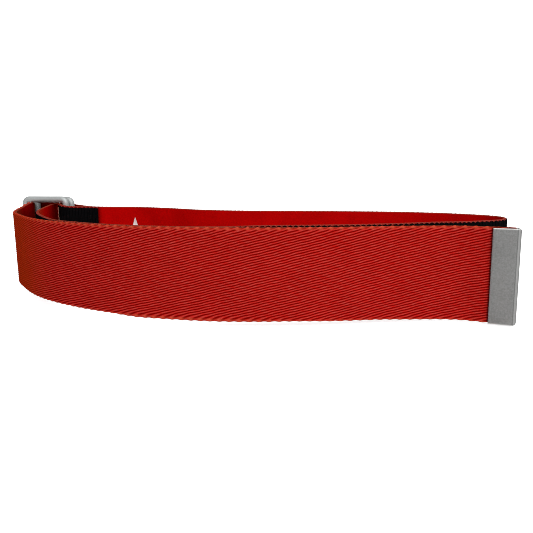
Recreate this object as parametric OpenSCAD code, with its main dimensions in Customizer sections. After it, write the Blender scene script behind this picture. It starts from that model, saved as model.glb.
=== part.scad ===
// Web belt with a two-ring buckle, standing on its edge and fastened in a flat loop.
// The webbing passes out through both rings, folds round the outer ring's bar,
// returns inside the inner ring's bar and runs along the front to its metal end.
// X runs along the belt, Y from the front to the back, Z up the webbing's width.
// The origin is on the tail's bottom edge, at the middle of the belt's front.

/* [Webbing] */
// Width of the webbing
webbing_w = 38; // [34:1:38]
// Thickness of the smooth base webbing
base_t = 1.0; // [0.8:0.1:1.1]
// Thickness of the black outer facing
facing_t = 0.8; // [0.5:0.1:0.9]
// Thickness of the ribbed twill facing on the tail
twill_t = 1.0; // [0.6:0.1:1.0]
// Height of the edge stitching along the black facing
edge_h = 0.8; // [0.5:0.1:1.2]
// Distance between samples along the webbing's path
path_step = 3.0; // [2:0.5:4]

/* [Rings] */
// Diameter of the ring wire
wire_d = 3.6; // [2.6:0.2:3.6]
// Overall height of each ring
ring_h = 48.2; // [46:0.2:49]
// Width between the centres of a ring's two bars
ring_span = 25.9; // [25.7:0.1:26]
// Corner radius at the wire's centreline
ring_corner = 2.4; // [2.2:0.2:4]
// Angle of the inner ring from the belt's length
inner_ring_angle = 12.3; // [11:0.1:12.5]
// Angle of the outer ring from the belt's length
outer_ring_angle = 23.0; // [22.5:0.1:23.5]

/* [Metal end] */
// Length of the folded metal end
tip_l = 10.2; // [8:0.2:14]
// Height of the folded metal end
tip_h = 37.8; // [36:0.2:40]
// Thickness of the plate it is folded from
tip_t = 0.8; // [0.5:0.1:1.0]
// Radius of its two corners at the fold
tip_corner = 1.2; // [0.6:0.1:1.6]
// Radius of the three prongs that hold the webbing
prong_r = 0.6; // [0.4:0.1:0.8]

/* [Stitching and mark] */
// Length of one stitch of the ring pocket
stitch_l = 2.1; // [1.6:0.1:2.3]
// Spacing of the stitches
stitch_pitch = 3.0; // [2.6:0.1:3.4]
// Height of the printed triangle on the inner face
mark_h = 18; // [8:1:20]
// Width of the printed triangle at its foot
mark_w = 12; // [4:1:14]

/* [Hidden] */
$fn = 48;

BELT_RED = [0.72, 0.02, 0.02];
TAIL_RED = [0.6, 0.02, 0.02];
TWILL_RED = [0.78, 0.16, 0.12];
EDGE_PINK = [0.75, 0.3, 0.28];

sewn_gap = 0.02;       // gap between two sewn layers
half_parting = 0.6;    // half of the gap where the webbing is parted to flex

// Offsets of the layers' faces, to the left of the path
facing_inside = base_t / 2 + sewn_gap;
facing_outside = facing_inside + facing_t;
right_face = -base_t / 2 - sewn_gap;

wire_r = wire_d / 2;
ring_lift = 0.6;       // rings' rise above the middle of the webbing
ring_low = (webbing_w - ring_h) / 2 + ring_lift;

// Hinge lines of the two rings, in their webbing pocket
inner_hinge = [-116.2, 111.4];
outer_hinge = [-114.3, 115.4];
outer_bar = outer_hinge + ring_span * [-cos(outer_ring_angle), sin(outer_ring_angle)];

// ---- the webbing's path, seen from above ----
pocket_centre = [-115.3, 113.5];
pocket_r = 4.2 + base_t / 2;
wrap_gap = 0.35;       // between the outer ring's bar and the webbing round it
wrap_r = wire_r + wrap_gap + base_t / 2;

function arc(centre, r, from, to, steps) =
    [for (i = [0:steps]) let (a = from + (to - from) * i / steps) centre + r * [cos(a), sin(a)]];

// Control points [x, y] of the middle of the base webbing, in path order
tab_pts = [[-98, 112.6], [-103, 112.3], [-109, 109.9]];
pocket_pts = arc(pocket_centre, pocket_r, -105, -270, 8);
back_pts = [
    [-108.5, 116.5], [-103, 114.2], [-98, 113.7], [-90, 114], [-76, 112.9], [-56, 102.9],
    [-35, 88.3], [-10, 79], [17, 74], [44.5, 68.6], [68, 61.9], [85.5, 53.8]];
right_pts = [[96, 46.3], [103, 39.1], [106, 31.9], [102.5, 22.7]];
front_pts = [
    [86.5, 15.7], [63, 8.3], [35.5, 4.1], [0, 4.3], [-27, 6.6], [-62.8, 17.5], [-84.3, 30.5]];
left_pts = [
    [-97.5, 41.2], [-107.6, 56], [-114.5, 68], [-120.3, 79.5], [-124.2, 90], [-125.8, 100],
    [-125.4, 110], [-124, 118.5], [-125.2, 124.6], [-129.6, 128.4], [-134, 128.7]];
wrap_pts = arc(outer_bar, wrap_r, 83, 185, 6);
tail_pts = [
    [-138.1, 119.9], [-136.9, 115.3], [-138.4, 105.3], [-134.8, 87.3], [-125, 69.3],
    [-113, 51.8], [-101, 39.3], [-86, 27.7], [-64, 14.8], [-27, 3.8], [0, 0], [22, -0.9],
    [53, 0.5], [80, -2.1], [86, -4.8], [95.3, -8.9]];
path_pts = concat(tab_pts, pocket_pts, back_pts, right_pts, front_pts, left_pts, wrap_pts,
                  tail_pts);

// Index of the first control point of a stretch
back_first = len(tab_pts) + len(pocket_pts);
left_first = back_first + len(back_pts) + len(right_pts) + len(front_pts);
tail_first = left_first + len(left_pts) + len(wrap_pts);

function unit(v) = v / norm(v);

// Tangent at a control point: each side's direction, weighted by the other side's length
function tangent(pts, i) =
    i == 0 ? unit(pts[1] - pts[0])
    : i == len(pts) - 1 ? unit(pts[i] - pts[i - 1])
    : let (before = pts[i] - pts[i - 1], after = pts[i + 1] - pts[i])
      (unit(before) * norm(after) + unit(after) * norm(before)) / (norm(before) + norm(after));

// Point of a cubic Hermite curve at t from 0 to 1 between control points i and i + 1
function on_curve(pts, i, t) =
    let (chord = norm(pts[i + 1] - pts[i]), t2 = t * t, t3 = t2 * t)
    (2 * t3 - 3 * t2 + 1) * pts[i] + (t3 - 2 * t2 + t) * chord * tangent(pts, i)
    + (3 * t2 - 2 * t3) * pts[i + 1] + (t3 - t2) * chord * tangent(pts, i + 1);

// Number of samples between control points i and i + 1; the slack absorbs rounding
slack = 0.000001;
function pieces(i) = max(1, ceil(norm(path_pts[i + 1] - path_pts[i]) / path_step - slack));

curve_pts = [
    for (i = [0:len(path_pts) - 2])
        let (count = pieces(i))
        for (k = [0:count - 1]) on_curve(path_pts, i, k / count),
    path_pts[len(path_pts) - 1]];
last = len(curve_pts) - 1;

// Length along the path at each sample, and the left-hand normal there
path_s = [for (i = 0, s = 0; i <= last;
               s = s + (i < last ? norm(curve_pts[i + 1] - curve_pts[i]) : 0), i = i + 1) s];
path_normals = [
    for (i = [0:last])
        let (along = unit(curve_pts[min(i + 1, last)] - curve_pts[max(i - 1, 0)]))
        [-along[1], along[0]]];

// Lookup tables against length along the path
function by_length(vectors, axis) = [for (i = [0:last]) [path_s[i], vectors[i][axis]]];
x_table = by_length(curve_pts, 0);
y_table = by_length(curve_pts, 1);
normal_x_table = by_length(path_normals, 0);
normal_y_table = by_length(path_normals, 1);

// Point at length s, offset to the left of the path
function point_at(s, offset) = [
    lookup(s, x_table) + offset * lookup(s, normal_x_table),
    lookup(s, y_table) + offset * lookup(s, normal_y_table)];

function sum(v, i = 0) = i >= len(v) ? 0 : v[i] + sum(v, i + 1);

// Path length at a control point after the first
function control_s(index) = path_s[sum([for (i = [0:index - 1]) pieces(i)])];

// Parts of the webbing beyond the closed loop, and the path length where each begins
WRAP = 0;
BEND = 1;
SIDE = 2;
FRONT = 3;
END = 4;
joint_s = [
    control_s(left_first + 4) + 7,
    control_s(tail_first + 2),
    control_s(tail_first + 6),
    control_s(tail_first + 9),
    control_s(tail_first + 12) - 14];
s_end = path_s[last];
loop_end = joint_s[WRAP] - half_parting;
twill_start = joint_s[WRAP] + 30;

function part_start(part) = joint_s[part] + half_parting;
function part_end(part) = part == END ? s_end : joint_s[part + 1] - half_parting;

// One layer of webbing from length s0 to s1, between two offsets and two heights
end_clearance = 0.3;   // samples nearer than this to a layer's end are left out
module layer(s0, s1, offset0, offset1, z0, z1) {
    inside = [for (s = path_s) if (s > s0 + end_clearance && s < s1 - end_clearance) s];
    stations = concat([s0], inside, [s1]);
    translate([0, 0, z0]) linear_extrude(z1 - z0)
        polygon(concat([for (s = stations) point_at(s, offset0)],
                       [for (i = [len(stations) - 1:-1:0]) point_at(stations[i], offset1)]));
}

module base(s0, s1) {
    layer(s0, s1, -base_t / 2, base_t / 2, 0, webbing_w);
}
module twill(s0, s1) {
    layer(s0, s1, right_face - twill_t, right_face, 0, webbing_w);
}

// Puts its children at length s, with X along the path and Y to its left
module on_path(s, offset) {
    origin = point_at(s, offset);
    left = point_at(s, offset + 1) - origin;
    translate([origin[0], origin[1], 0]) rotate([0, 0, atan2(-left[0], left[1])]) children();
}

// ---- the closed loop ----
module belt_webbing() {
    color(BELT_RED) base(0, loop_end);
}

module facing_layer(z0, z1) {
    layer(0, loop_end, facing_inside, facing_outside, z0, z1);
}
module black_facing() {
    color([0.03, 0.03, 0.035]) facing_layer(edge_h, webbing_w - edge_h);
}

edge_gap = 0.05;       // between the edge stitching and the facing
module upper_edge_stitching() {
    color(EDGE_PINK) facing_layer(webbing_w - edge_h + edge_gap, webbing_w);
}
module lower_edge_stitching() {
    color(EDGE_PINK) facing_layer(0, edge_h - edge_gap);
}

// Two rows of stitches close the pocket that holds the rings, seen on both faces
stitch_w = 0.5;
stitch_t = 0.3;
row_margin = 6;        // least total height left free of stitches
row_insets = [1.2, 4.4];
module stitch_row(s) {
    count = floor((webbing_w - row_margin) / stitch_pitch);
    first_z = (webbing_w - count * stitch_pitch) / 2;
    for (i = [0:count - 1])
        on_path(s, facing_outside + sewn_gap)
            translate([-stitch_w / 2, 0, first_z + i * stitch_pitch])
                cube([stitch_w, stitch_t, stitch_l]);
}
module pocket_stitching() {
    s_back = control_s(back_first + 2);
    color([0.05, 0.05, 0.05]) {
        for (inset = row_insets) stitch_row(inset);
        for (inset = row_insets) stitch_row(s_back - inset);
    }
}

// Triangle on the loop's inner face, cut from a thin layer that follows the webbing
mark_s = control_s(back_first + 4) - 0.5;
mark_t = 0.12;
mark_top = 32;
module printed_mark() {
    foot = mark_top - mark_h;
    color([0.93, 0.93, 0.92]) intersection() {
        layer(mark_s - mark_w, mark_s + mark_w, right_face - mark_t, right_face, 0, webbing_w);
        on_path(mark_s, right_face + 2) rotate([90, 0, 0]) linear_extrude(6)
            polygon([[-mark_w / 2, foot], [mark_w / 2, foot], [0, mark_top]]);
    }
}

// ---- the two rings ----
// Drawn flat from the hinge bar's foot, then stood upright and turned about the hinge
module wire_ring(hinge, angle) {
    height = ring_h - wire_d;
    near = -ring_corner;
    far = -ring_span + ring_corner;
    low = ring_corner;
    high = height - ring_corner;
    corners = [[near, high], [far, high], [far, low], [near, low]];
    translate([hinge[0], hinge[1], ring_low + wire_r])
    rotate([0, 0, -angle])
    rotate([90, 0, 0]) {
        for (x = [0, -ring_span])
            translate([x, low, 0]) rotate([-90, 0, 0]) cylinder(h = high - low, r = wire_r);
        for (y = [0, height])
            translate([far, y, 0]) rotate([0, 90, 0]) cylinder(h = near - far, r = wire_r);
        for (i = [0:3])
            translate([corners[i][0], corners[i][1], 0]) rotate([0, 0, 90 * i])
                rotate_extrude(angle = 90) translate([ring_corner, 0]) circle(wire_r);
    }
}
module inner_ring() {
    color([0.6, 0.61, 0.62]) wire_ring(inner_hinge, inner_ring_angle);
}
module outer_ring() {
    color([0.58, 0.59, 0.6]) wire_ring(outer_hinge, outer_ring_angle);
}

// ---- the folded part and the tail ----
module webbing_part(part) {
    color(TAIL_RED) base(part_start(part), part_end(part));
}
module twill_part(part) {
    color(TWILL_RED) twill(part_start(part), part_end(part));
}

module wrap_webbing() { webbing_part(WRAP); }
module wrap_twill() { color(TWILL_RED) twill(twill_start, part_end(WRAP)); }
module bend_webbing() { webbing_part(BEND); }
module bend_twill() { twill_part(BEND); }
module side_webbing() { webbing_part(SIDE); }
module side_twill() { twill_part(SIDE); }
module front_webbing() { webbing_part(FRONT); }
module front_twill() { twill_part(FRONT); }
module end_webbing() {
    color(TAIL_RED) difference() {
        base(part_start(END), part_end(END));
        prongs(prong_r + prong_clearance);
    }
}
module end_twill() {
    color(TWILL_RED) difference() {
        twill(part_start(END), part_end(END));
        prongs(prong_r + prong_clearance);
    }
}

// ---- metal end: one plate folded round the webbing, with three prongs through it ----
tip_gap = 0.15;        // between the plate and each face of the webbing
tip_depth = base_t + sewn_gap + twill_t + 2 * (tip_gap + tip_t);
tip_middle = -(twill_t + sewn_gap) / 2;
tip_low = (webbing_w - tip_h) / 2 - 0.2;
tip_back = 0.4;        // the end's direction is taken this far before it
slot_past = 0.4;       // slot's reach past the webbing's end
prong_inset = 8;
prong_clearance = 0.08;

module at_tip() {
    on_path(s_end - tip_back, tip_middle) translate([tip_back, 0, 0]) children();
}

module prongs(r) {
    for (z = [prong_inset, webbing_w / 2, webbing_w - prong_inset])
        at_tip() translate([-tip_l / 2, tip_depth / 2 - tip_t / 2, z])
            rotate([90, 0, 0]) cylinder(h = tip_depth - tip_t, r = r);
}

// The folded plate seen from above
module tip_section() {
    difference() {
        union() {
            translate([-tip_l + tip_depth / 2, -tip_depth / 2])
                square([tip_l - tip_depth / 2, tip_depth]);
            circle(tip_depth / 2);
        }
        translate([-tip_l, -tip_depth / 2 + tip_t])
            square([tip_l + slot_past, tip_depth - 2 * tip_t]);
    }
}

// The plate seen from the front, with its two corners at the fold rounded
module tip_outline() {
    r = tip_corner;
    overlap = 0.5;
    fold = tip_depth / 2;
    translate([-tip_l + fold, tip_low]) square([tip_l - r, tip_h]);
    translate([fold - r - overlap, tip_low + r]) square([r + overlap, tip_h - 2 * r]);
    for (z = [tip_low + r, tip_low + tip_h - r]) translate([fold - r, z]) circle(r);
}

module metal_end() {
    color([0.66, 0.67, 0.69]) {
        intersection() {
            at_tip() translate([0, 0, tip_low]) linear_extrude(tip_h) tip_section();
            at_tip() translate([0, tip_depth, 0]) rotate([90, 0, 0])
                linear_extrude(2 * tip_depth) tip_outline();
        }
        prongs(prong_r);
    }
}

belt_webbing();
black_facing();
upper_edge_stitching();
lower_edge_stitching();
pocket_stitching();
printed_mark();
inner_ring();
outer_ring();
wrap_webbing();
wrap_twill();
bend_webbing();
bend_twill();
side_webbing();
side_twill();
front_webbing();
front_twill();
end_webbing();
end_twill();
metal_end();
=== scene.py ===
import math

import bpy
import numpy as np
from mathutils import Matrix, Vector


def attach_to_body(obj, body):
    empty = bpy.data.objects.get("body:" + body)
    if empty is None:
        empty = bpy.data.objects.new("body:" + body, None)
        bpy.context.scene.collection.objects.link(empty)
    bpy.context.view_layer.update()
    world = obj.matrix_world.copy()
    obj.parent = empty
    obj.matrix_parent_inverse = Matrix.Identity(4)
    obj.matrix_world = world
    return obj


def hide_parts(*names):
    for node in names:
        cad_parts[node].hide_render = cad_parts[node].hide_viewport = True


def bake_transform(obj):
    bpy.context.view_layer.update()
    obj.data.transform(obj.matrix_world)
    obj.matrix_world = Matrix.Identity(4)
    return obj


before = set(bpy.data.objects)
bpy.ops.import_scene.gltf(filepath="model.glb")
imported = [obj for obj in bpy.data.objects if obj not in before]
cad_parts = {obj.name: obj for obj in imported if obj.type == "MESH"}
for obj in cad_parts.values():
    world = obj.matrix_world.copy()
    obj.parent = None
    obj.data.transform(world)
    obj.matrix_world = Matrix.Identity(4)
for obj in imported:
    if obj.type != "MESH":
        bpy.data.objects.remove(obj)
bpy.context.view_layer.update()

# Everything below works in millimetres and scales to metres when a mesh is made.
MM = 0.001

# ------------------------------------------------------------------ the webbing's path, as in the CAD
WIDTH = 38.0
BASE_T, FACING_T, TWILL_T, GLUE = 1.0, 0.8, 1.0, 0.02
WIRE_D, RING_SPAN, RING_CORNER = 3.6, 25.9, 2.4
INNER_HINGE, INNER_ANGLE = np.array([-116.2, 111.4]), 12.3
OUTER_HINGE, OUTER_ANGLE = np.array([-114.3, 115.4]), 23.0
TIP_L, TIP_H, TIP_T, TIP_CORNER = 10.2, 37.8, 0.8, 0.8
RING_H, RING_UP = 48.2, 0.6


def away(p, a, d):
    return p + d * np.array([-math.cos(math.radians(a)), math.sin(math.radians(a))])


def arc(c, r, a0, a1, n):
    return [tuple(np.asarray(c) + r * np.array([math.cos(math.radians(a0 + (a1 - a0) * i / n)), math.sin(math.radians(a0 + (a1 - a0) * i / n))])) for i in range(n + 1)]


OUTER_BAR = away(OUTER_HINGE, OUTER_ANGLE, RING_SPAN)
PARTS = {
    "tab": [(-98, 112.6), (-103, 112.3), (-109, 109.9)],
    "pocket": arc((-115.3, 113.5), 4.2 + BASE_T / 2, -105, -270, 8),
    "far": [(-108.5, 116.5), (-103, 114.2), (-98, 113.7), (-90, 114), (-76, 112.9), (-56, 102.9),
            (-35, 88.3), (-10, 79), (17, 74), (44.5, 68.6), (68, 61.9), (85.5, 53.8)],
    "right": [(96, 46.3), (103, 39.1), (106, 31.9), (102.5, 22.7)],
    "front_run": [(86.5, 15.7), (63, 8.3), (35.5, 4.1), (0, 4.3), (-27, 6.6), (-62.8, 17.5), (-84.3, 30.5)],
    "left": [(-97.5, 41.2), (-107.6, 56), (-114.5, 68), (-120.3, 79.5), (-124.2, 90), (-125.8, 100), (-125.4, 110),
             (-124, 118.5), (-125.2, 124.6), (-129.6, 128.4), (-134, 128.7)],
    "wrap": arc(OUTER_BAR, WIRE_D / 2 + 0.35 + BASE_T / 2, 83, 185, 6),
    "tail": [(-138.1, 119.9), (-136.9, 115.3), (-138.4, 105.3), (-135.3, 87.2), (-125.2, 69.3), (-113, 51.8), (-101, 39.3),
             (-86, 27.7), (-64, 14.8), (-27, 3.8), (0, 0), (22, -0.9), (53, 0.5), (80, -2.1), (86, -4.8), (95.3, -8.9)],
}
KEYS = np.array([p for name in PARTS for p in PARTS[name]], float)
FIRST, _n = {}, 0
for _name in PARTS:
    FIRST[_name] = _n
    _n += len(PARTS[_name])


def smooth_path(K, step=0.25):
    n = len(K)
    tan = []
    for i in range(n):
        if i == 0 or i == n - 1:
            d = K[1] - K[0] if i == 0 else K[-1] - K[-2]
            tan.append(d / np.linalg.norm(d))
        else:
            a, b = K[i] - K[i - 1], K[i + 1] - K[i]
            la, lb = np.linalg.norm(a), np.linalg.norm(b)
            tan.append((a / la * lb + b / lb * la) / (la + lb))
    pts, at_key = [], []
    for i in range(n - 1):
        d = np.linalg.norm(K[i + 1] - K[i])
        m = max(4, int(math.ceil(d / step)))
        at_key.append(len(pts))
        for k in range(m):
            t = k / m
            pts.append((2 * t**3 - 3 * t * t + 1) * K[i] + (t**3 - 2 * t * t + t) * d * tan[i]
                       + (3 * t * t - 2 * t**3) * K[i + 1] + (t**3 - t * t) * d * tan[i + 1])
    pts.append(K[-1])
    at_key.append(len(pts) - 1)
    P = np.array(pts)
    s = np.concatenate([[0], np.cumsum(np.linalg.norm(np.diff(P, axis=0), axis=1))])
    D = np.gradient(P, s, axis=0)
    # a light smoothing of the direction keeps the shading even across control points
    k = np.array([1, 2, 3, 2, 1], float) / 9
    D = np.stack([np.convolve(np.pad(D[:, c], 2, mode="edge"), k, mode="valid") for c in (0, 1)], -1)
    D /= np.linalg.norm(D, axis=1)[:, None]
    return P, np.stack([-D[:, 1], D[:, 0]], -1), s, s[at_key]


PATH_P, PATH_N, PATH_S, KEY_S = smooth_path(KEYS)
S_END = PATH_S[-1]


def s_of(part, k):
    return KEY_S[FIRST[part] + k]


S_IN = s_of("left", 4) + 7
S_1, S_2, S_3, S_4 = s_of("tail", 2), s_of("tail", 6), s_of("tail", 9), s_of("tail", 12) - 14


def on_path(s, d=0.0):
    """Plan position at length s, offset d to the left of the path."""
    s = np.asarray(s, float)
    over = np.clip(s - S_END, 0, None) - np.clip(-s, 0, None)
    x, y = np.interp(s, PATH_S, PATH_P[:, 0]), np.interp(s, PATH_S, PATH_P[:, 1])
    nx, ny = np.interp(s, PATH_S, PATH_N[:, 0]), np.interp(s, PATH_S, PATH_N[:, 1])
    x, y = x + over * ny, y - over * nx  # straight on past either end
    return np.stack([x + d * nx, y + d * ny], -1)


def normal_at(s):
    return np.stack([np.interp(s, PATH_S, PATH_N[:, 0]), np.interp(s, PATH_S, PATH_N[:, 1])], -1)


# ------------------------------------------------------------------ mesh helpers
def step01(v, a, b):
    t = np.clip((v - a) / (b - a), 0, 1)
    return t * t * (3 - 2 * t)


def lift_at(x, y):
    """The rings stand taller than the webbing and hold it up a little on their side of the loop."""
    x, y = np.asarray(x, float), np.asarray(y, float)
    near = (2.5 * np.exp(-((x + 130) ** 2 + (y - 124) ** 2) / 25.0 ** 2) + 1.4 * np.exp(-((x + 138.5) ** 2 + (y - 112.5) ** 2) / 6.0 ** 2)
            + 1.0 * np.exp(-((x + 118.5) ** 2 + (y - 113.5) ** 2) / 5.0 ** 2))
    # the loop's near run rides a little higher than the tail that lies against it
    run = step01(x, -25, 5) * (1 - step01(x, 66, 88)) * step01(y, 1.5, 2.6) * (1 - step01(y, 14, 26))
    return near + 0.5 * run


def make_object(name, verts, faces_loops, faces_total, normals=None, attr=None, material=None, smooth=True):
    me = bpy.data.meshes.new(name)
    verts = np.asarray(verts, np.float32) * MM
    loops = np.asarray(faces_loops, np.int32)
    total = np.asarray(faces_total, np.int32)
    me.vertices.add(len(verts))
    me.vertices.foreach_set("co", verts.ravel())
    me.loops.add(len(loops))
    me.loops.foreach_set("vertex_index", loops)
    me.polygons.add(len(total))
    start = np.concatenate([[0], np.cumsum(total)[:-1]]).astype(np.int32)
    me.polygons.foreach_set("loop_start", start)
    me.polygons.foreach_set("loop_total", total)
    me.polygons.foreach_set("use_smooth", np.full(len(total), smooth, bool))
    me.update(calc_edges=True)
    me.validate()
    if attr is not None:
        for key, value in attr.items():
            value = np.asarray(value, np.float32)
            kind = "FLOAT_VECTOR" if value.ndim == 2 else "FLOAT"
            a = me.attributes.new(key, kind, "POINT")
            a.data.foreach_set("vector" if value.ndim == 2 else "value", value.ravel())
    if normals is not None:
        me.normals_split_custom_set_from_vertices(np.asarray(normals, np.float32))
    ob = bpy.data.objects.new(name, me)
    bpy.context.scene.collection.objects.link(ob)
    if material is not None:
        me.materials.append(material)
    return ob


def grid_faces(ns, nu, closed_u=True, base=0):
    i = np.arange(ns - 1)[:, None]
    j = np.arange(nu if closed_u else nu - 1)[None, :]
    j2 = (j + 1) % nu
    q = np.stack([i * nu + j, (i + 1) * nu + j, (i + 1) * nu + j2, i * nu + j2], -1).reshape(-1, 4) + base
    return q


def signed_volume(v, quads):
    a, b, c, d = (v[quads[:, k]] for k in range(4))
    return (np.einsum("ij,ij->i", a, np.cross(b, c)) + np.einsum("ij,ij->i", a, np.cross(c, d))).sum() / 6


def ease(x):
    x = np.clip(x, 0, 1)
    return x * x * (3 - 2 * x)


def layer(name, s0, s1, dA, dB, z0, z1, ds=1.0, dz=1.0, dzb=2.0, edge=0.25, n_edge=3, disp=None, lift=None, phase=None, material=None):
    """A closed strip of webbing from s0 to s1. Face A is at offset dA, with detail; face B at dB.
    disp(s, z) moves face A outwards, lift(s, side) is the rise of the upper (side 1) and lower (side -1) edges."""
    ns = max(2, int(round((s1 - s0) / ds)) + 1)
    S = np.linspace(s0, s1, ns)
    out = 1.0 if dA > dB else -1.0
    zA = np.linspace(z0 + edge, z1 - edge, max(2, int(round((z1 - z0 - 2 * edge) / dz)) + 1))
    zB = np.linspace(z1 - edge, z0 + edge, max(2, int(round((z1 - z0 - 2 * edge) / dzb)) + 1))
    t = abs(dA - dB)
    e = min(edge, t / 2)
    ring_d, ring_z, kind = [], [], []
    for z in zA:
        ring_d.append(dA); ring_z.append(z); kind.append(1.0)
    for k in range(1, n_edge + 1):  # upper edge, face A to face B
        a = math.pi / 2 * k / (n_edge + 1)
        ring_d.append(dA - out * e * (1 - math.cos(a))); ring_z.append(z1 - edge + edge * math.sin(a)); kind.append(math.cos(a))
    for k in range(1, n_edge + 1):
        a = math.pi / 2 * k / (n_edge + 1)
        ring_d.append(dB + out * e * (1 - math.sin(a))); ring_z.append(z1 - edge + edge * math.cos(a)); kind.append(0.0)
    for z in zB:
        ring_d.append(dB); ring_z.append(z); kind.append(0.0)
    for k in range(1, n_edge + 1):
        a = math.pi / 2 * k / (n_edge + 1)
        ring_d.append(dB + out * e * (1 - math.cos(a))); ring_z.append(z0 + edge - edge * math.sin(a)); kind.append(0.0)
    for k in range(1, n_edge + 1):
        a = math.pi / 2 * k / (n_edge + 1)
        ring_d.append(dA - out * e * (1 - math.sin(a))); ring_z.append(z0 + edge - edge * math.cos(a)); kind.append(math.sin(a))
    ring_d, ring_z, kind = map(np.array, (ring_d, ring_z, kind))
    nu = len(ring_d)

    def surface(s):
        c, n = on_path(s), normal_at(s)
        z = np.broadcast_to(ring_z, (len(s), nu)).copy()
        d = np.broadcast_to(ring_d, (len(s), nu)).copy()
        if disp is not None:
            d += out * kind[None, :] * disp(s[:, None], z)
        if lift is not None:
            up = ease((z - (z1 - 1.6)) / 1.6)
            dn = ease(((z0 + 1.6) - z) / 1.6)
            z = z + up * lift(s, 1)[:, None] + dn * lift(s, -1)[:, None]
        x, y = c[:, 0:1] + d * n[:, 0:1], c[:, 1:2] + d * n[:, 1:2]
        return np.stack([x, y, z + lift_at(x, y)], -1)

    P = surface(S)
    eps = 0.05
    Ts = surface(S + eps) - surface(S - eps)
    Tu = np.roll(P, -1, axis=1) - np.roll(P, 1, axis=1)
    N = np.cross(Tu, Ts)
    N /= np.maximum(np.linalg.norm(N, axis=2, keepdims=True), 1e-9)
    V = P.reshape(-1, 3)
    quads = grid_faces(ns, nu)
    # outward normals: compare with the offset direction on face A
    nrm = normal_at(S)
    mid = len(zA) // 2
    if (N[ns // 2, mid, :2] @ nrm[ns // 2]) * out < 0:
        N = -N
    if signed_volume(V, quads) < 0:
        quads = quads[:, ::-1]
        flipped = True
    else:
        flipped = False
    cap0 = np.arange(nu)
    cap1 = (ns - 1) * nu + np.arange(nu)
    # ends: one polygon each, wound outwards
    first = cap0 if not flipped else cap0[::-1]
    lastc = cap1[::-1] if not flipped else cap1
    loops = np.concatenate([quads.ravel(), first, lastc])
    total = np.concatenate([np.full(len(quads), 4), [nu, nu]])
    strap = np.stack([np.broadcast_to(S[:, None], (ns, nu)), P[..., 2] - lift_at(P[..., 0], P[..., 1]), np.broadcast_to(kind, (ns, nu))], -1).reshape(-1, 3)
    attr = {"strap": strap}
    if phase is not None:
        attr["rib"] = phase(S[:, None], np.broadcast_to(ring_z, (ns, nu))).reshape(-1)
    return make_object(name, V, loops, total, N.reshape(-1, 3), attr, material)


def tube(points, radius, sides=8, closed=False, flat=None):
    """Vertices of a tube through points (n x 3)."""
    P = np.asarray(points, float)
    n = len(P)
    T = np.roll(P, -1, axis=0) - np.roll(P, 1, axis=0) if closed else np.gradient(P, axis=0)
    T /= np.linalg.norm(T, axis=1)[:, None]
    ref = np.array([0.0, 0.0, 1.0])
    if abs(T[0] @ ref) > 0.9:
        ref = np.array([1.0, 0.0, 0.0])
    U = np.zeros_like(P)
    u = ref - (ref @ T[0]) * T[0]
    u /= np.linalg.norm(u)
    for i in range(n):
        u = u - (u @ T[i]) * T[i]
        u /= np.linalg.norm(u)
        U[i] = u
    W = np.cross(T, U)
    a = np.linspace(0, 2 * np.pi, sides, endpoint=False)
    r = np.broadcast_to(np.asarray(radius, float), (n,))
    V = P[:, None, :] + r[:, None, None] * (np.cos(a)[None, :, None] * U[:, None, :] + np.sin(a)[None, :, None] * W[:, None, :])
    return V


# ------------------------------------------------------------------ material helpers
def node_material(name):
    m = bpy.data.materials.new(name)
    m.use_nodes = True
    nt = m.node_tree
    nt.nodes.clear()
    out = nt.nodes.new("ShaderNodeOutputMaterial")
    b = nt.nodes.new("ShaderNodeBsdfPrincipled")
    nt.links.new(b.outputs[0], out.inputs[0])
    return m, nt, b


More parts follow.
